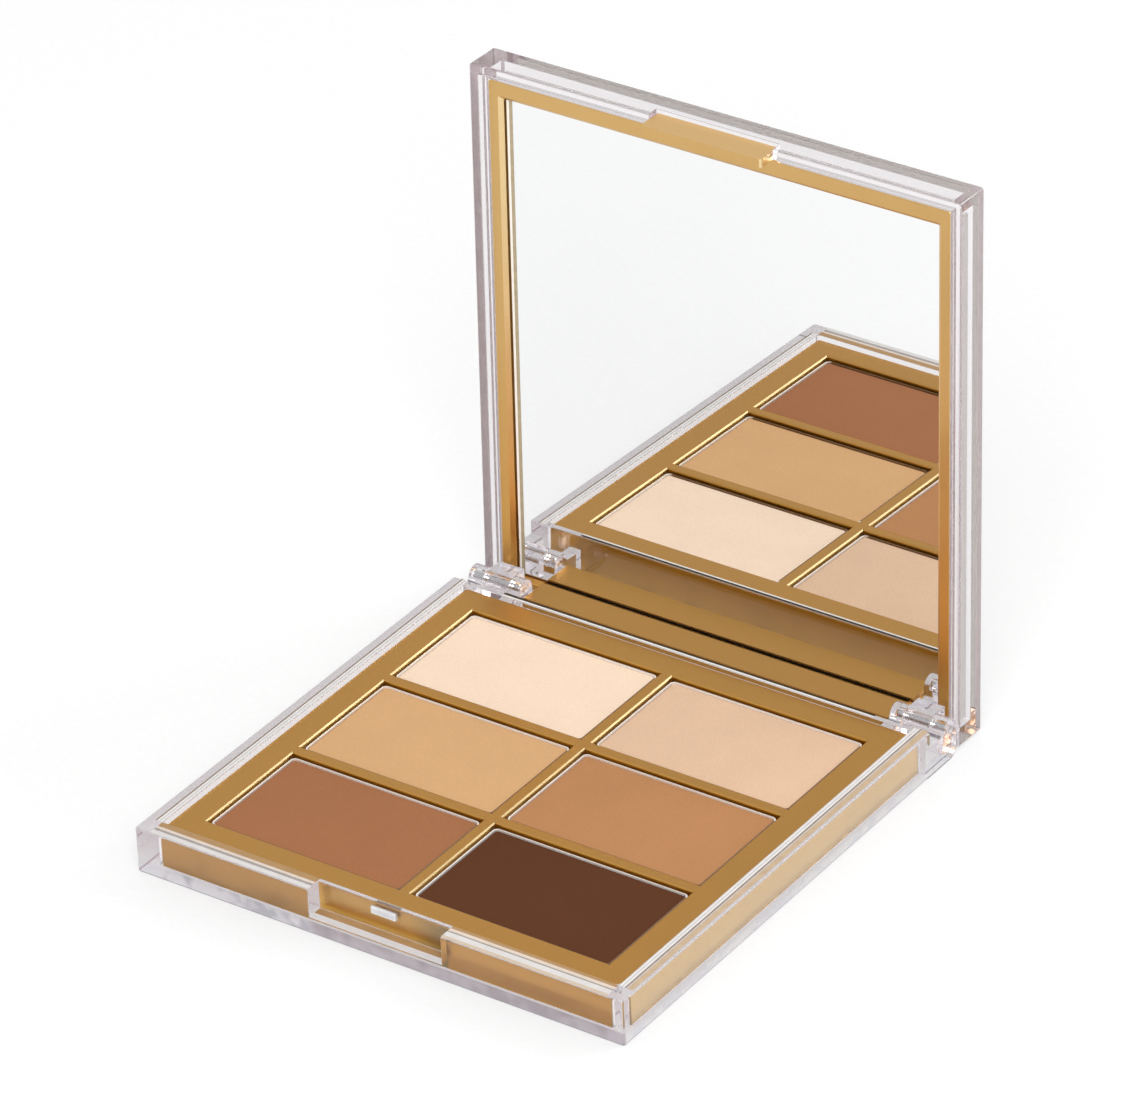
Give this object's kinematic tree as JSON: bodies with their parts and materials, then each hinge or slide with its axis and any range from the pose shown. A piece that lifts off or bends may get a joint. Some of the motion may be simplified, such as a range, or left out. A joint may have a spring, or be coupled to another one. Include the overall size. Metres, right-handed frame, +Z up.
{
  "type": "eyeshadow palette",
  "caption": "Eyeshadow palette: clear hinged case with a gold tray of powder pans, a mirror framed in gold in its lid, a latch tab and a finger notch in front.",
  "frame": {"origin": "middle of the case's underside, halfway between its front face and its rear wall", "axes": "+Z up, +Y from the front edge to the hinges, +X to the right as the user faces the mirror"},
  "size_m": [0.086, 0.0979, 0.0916],
  "materials": {
    "clear_plastic": "clear polished acrylic",
    "gold": "satin gold metallic coating on moulded plastic",
    "pan_metal": "bright pressed sheet",
    "pin_steel": "drawn wire",
    "ivory_plastic": "matte ivory",
    "tape": "foam tape",
    "glue": "set glue",
    "mirror": "silvered glass",
    "powder_front_left": "pressed matte powder",
    "powder_front_right": "pressed matte powder",
    "powder_middle_left": "pressed matte powder",
    "powder_middle_right": "pressed matte powder",
    "powder_rear_left": "pressed matte powder",
    "powder_rear_right": "pressed matte powder"
  },
  "bodies": {
    "base": {"base_case": "clear_plastic", "pan_tray": "gold", "hinge_pin_left": "pin_steel", "hinge_pin_right": "pin_steel", "pan_front_left": "pan_metal", "powder_front_left": "powder_front_left", "glue_pad_front_left": "glue", "pan_front_right": "pan_metal", "powder_front_right": "powder_front_right", "glue_pad_front_right": "glue", "pan_middle_left": "pan_metal", "powder_middle_left": "powder_middle_left", "glue_pad_middle_left": "glue", "pan_middle_right": "pan_metal", "powder_middle_right": "powder_middle_right", "glue_pad_middle_right": "glue", "pan_rear_left": "pan_metal", "powder_rear_left": "powder_rear_left", "glue_pad_rear_left": "glue", "pan_rear_right": "pan_metal", "powder_rear_right": "powder_rear_right", "glue_pad_rear_right": "glue"},
    "lid": {"lid_case": "clear_plastic", "lid_backing": "ivory_plastic", "mirror_tape": "tape", "mirror_glass": "mirror", "mirror_frame": "gold"}
  },
  "joints": [
    {"name": "lid_hinge", "type": "hinge", "parent": "base", "child": "lid", "pos_m": [0, 0.04595, 0.0052], "axis": [-1, 0, 0], "range_deg": [-91.7, 0]}
  ]
}
